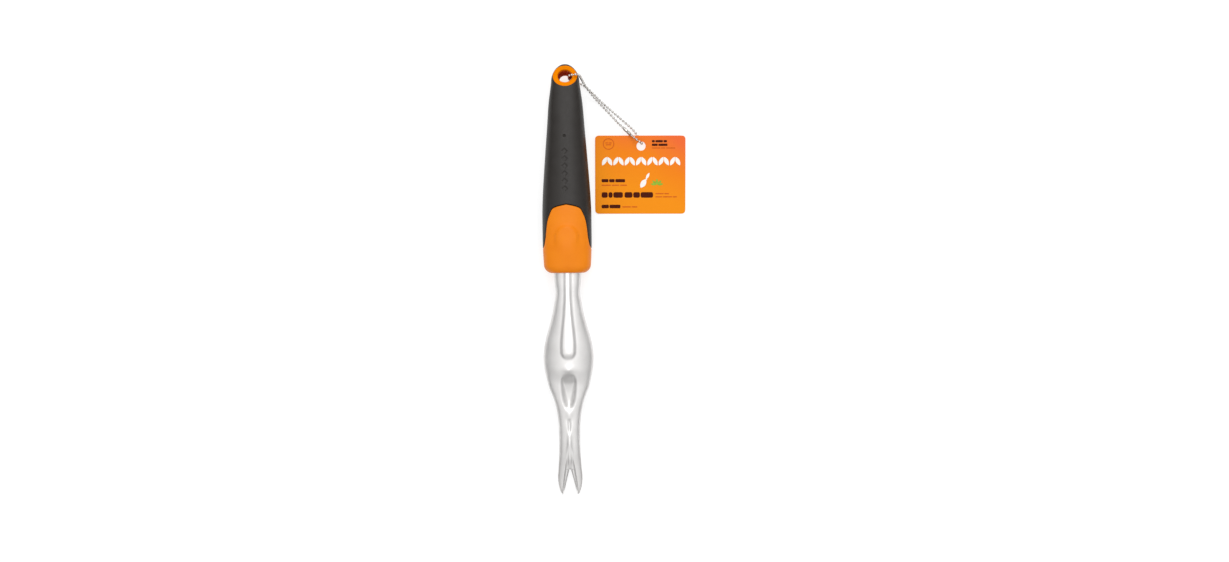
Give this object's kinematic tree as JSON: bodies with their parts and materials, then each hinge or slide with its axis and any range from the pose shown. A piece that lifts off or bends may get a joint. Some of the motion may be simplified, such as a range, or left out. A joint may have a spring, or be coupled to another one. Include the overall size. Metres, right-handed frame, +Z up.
{
  "type": "hand weeder",
  "caption": "Hand weeder with a forked cast head and leverage bulge, a cushioned two-colour handle with thumb rest and hang hole, and a card tag on a ball chain",
  "frame": {"origin": "under the middle of the tool, on the surface that it lies on; the tag and chain lie beside it", "axes": "+Y runs along the tool from the fork tips to the butt of the handle, +Z is up out of the front face with the thumb rest, and +X is the side that the tag lies on"},
  "size_m": [0.1085, 0.3226, 0.0294],
  "materials": {
    "cast_aluminium": "satin, tumbled casting",
    "core_plastic": "fine moulded texture",
    "grip_rubber": "soft touch, matt",
    "chain_metal": "nickel plated",
    "tag_card": "printed and varnished"
  },
  "bodies": {
    "root": {"weeder_head": "cast_aluminium", "handle_core": "core_plastic", "grip_sleeve": "grip_rubber", "bead_chain": "chain_metal", "chain_connector": "chain_metal"},
    "tag": {"hang_tag": "tag_card"}
  },
  "joints": [
    {"name": "tag_lift", "type": "hinge", "parent": "root", "child": "tag", "pos_m": [0.0562, 0.1067, 0.0046], "axis": [-1, 0, 0], "range_deg": [0, 45]}
  ]
}
